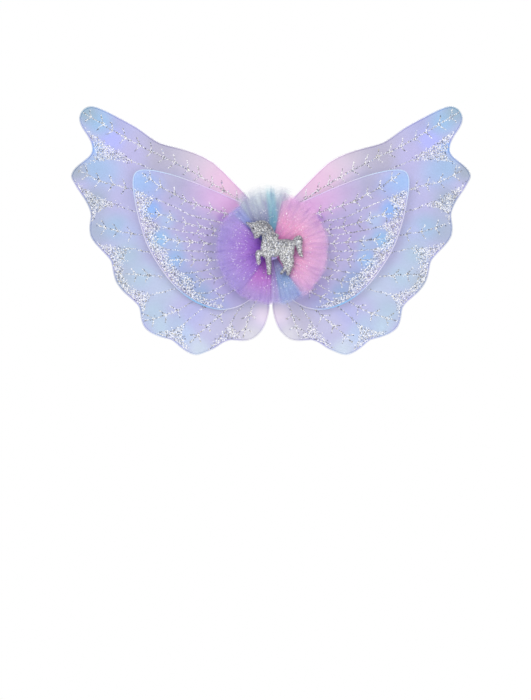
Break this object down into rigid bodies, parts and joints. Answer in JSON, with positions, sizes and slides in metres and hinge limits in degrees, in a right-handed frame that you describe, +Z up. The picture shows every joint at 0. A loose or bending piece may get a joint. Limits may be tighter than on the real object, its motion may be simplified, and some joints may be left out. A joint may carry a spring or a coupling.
{
  "type": "fairy wings",
  "caption": "Child's costume fairy wings: scalloped wire-framed wings of sheer glitter fabric, tulle rosette with padded unicorn, back pad and elastic shoulder straps.",
  "frame": {"origin": "centre of the back pad's face that rests on the wearer's back", "axes": "+X across the wings, to the wearer's right; +Y toward the wearer, out of the pad's face; +Z up"},
  "size_m": [0.4676, 0.1386, 0.2911],
  "materials": {
    "felt_white": "felt",
    "pad_fabric": "brushed nylon",
    "stay_plastic": "matte",
    "elastic": "ribbed elastic",
    "tape": "woven tape",
    "felt_lilac": "felt",
    "tulle_pink": "net",
    "tulle_aqua": "net",
    "tulle_sky": "net",
    "tulle_purple": "net",
    "tulle_orchid": "net",
    "tulle_lilac": "net",
    "tulle_blue": "net",
    "felt_grey": "felt",
    "filling": "fibre filling",
    "glitter_cloth": "silver glitter",
    "eye": "gloss",
    "wire": "coated",
    "large_wing_fabric": "sheer nylon",
    "small_wing_fabric": "sheer nylon",
    "splice": "satin"
  },
  "bodies": {
    "centre": {"pad_backing": "felt_white", "pad_cushion": "pad_fabric", "spine_stay": "stay_plastic", "strap_anchors": "elastic", "hinge_loops_left": "tape", "hinge_loops_right": "tape", "rosette_seat": "felt_lilac", "rosette_core": "tulle_purple", "tulle_pink": "tulle_pink", "tulle_aqua": "tulle_aqua", "tulle_sky": "tulle_sky", "tulle_purple": "tulle_purple", "tulle_orchid": "tulle_orchid", "tulle_lilac": "tulle_lilac", "tulle_blue": "tulle_blue", "unicorn_backing": "felt_grey", "unicorn_padding": "filling", "unicorn_cover": "glitter_cloth", "unicorn_eye": "eye"},
    "large_wing_left": {"large_frame_left": "wire", "large_fabric_left": "large_wing_fabric", "large_splice_left": "splice", "bridles_left": "tape"},
    "large_wing_right": {"large_frame_right": "wire", "large_fabric_right": "large_wing_fabric", "large_splice_right": "splice", "bridles_right": "tape"},
    "small_wing_left": {"small_frame_left": "wire", "small_fabric_left": "small_wing_fabric", "small_splice_left": "splice"},
    "small_wing_right": {"small_frame_right": "wire", "small_fabric_right": "small_wing_fabric", "small_splice_right": "splice"},
    "strap_left": {"shoulder_strap_left": "elastic"},
    "strap_right": {"shoulder_strap_right": "elastic"}
  },
  "joints": [
    {"name": "large_wing_left_bend", "type": "hinge", "parent": "centre", "child": "large_wing_left", "pos_m": [-0.005, -0.013, 0], "axis": [0, 0, 1], "range_deg": [-15, 8]},
    {"name": "large_wing_right_bend", "type": "hinge", "parent": "centre", "child": "large_wing_right", "pos_m": [0.005, -0.013, 0], "axis": [0, 0, -1], "range_deg": [-15, 8]},
    {"name": "small_wing_left_open", "type": "hinge", "parent": "large_wing_left", "child": "small_wing_left", "pos_m": [-0.005, -0.017, 0], "axis": [0, 0, 1], "range_deg": [-2, 6]},
    {"name": "small_wing_right_open", "type": "hinge", "parent": "large_wing_right", "child": "small_wing_right", "pos_m": [0.005, -0.017, 0], "axis": [0, 0, -1], "range_deg": [-2, 6]},
    {"name": "strap_left_swing", "type": "hinge", "parent": "centre", "child": "strap_left", "pos_m": [-0.022, -0.00335, 0], "axis": [0, 0, 1], "range_deg": [-10, 50], "stiffness_Nm_per_rad": 0.01},
    {"name": "strap_right_swing", "type": "hinge", "parent": "centre", "child": "strap_right", "pos_m": [0.022, -0.00335, 0], "axis": [0, 0, -1], "range_deg": [-10, 50], "stiffness_Nm_per_rad": 0.01}
  ]
}
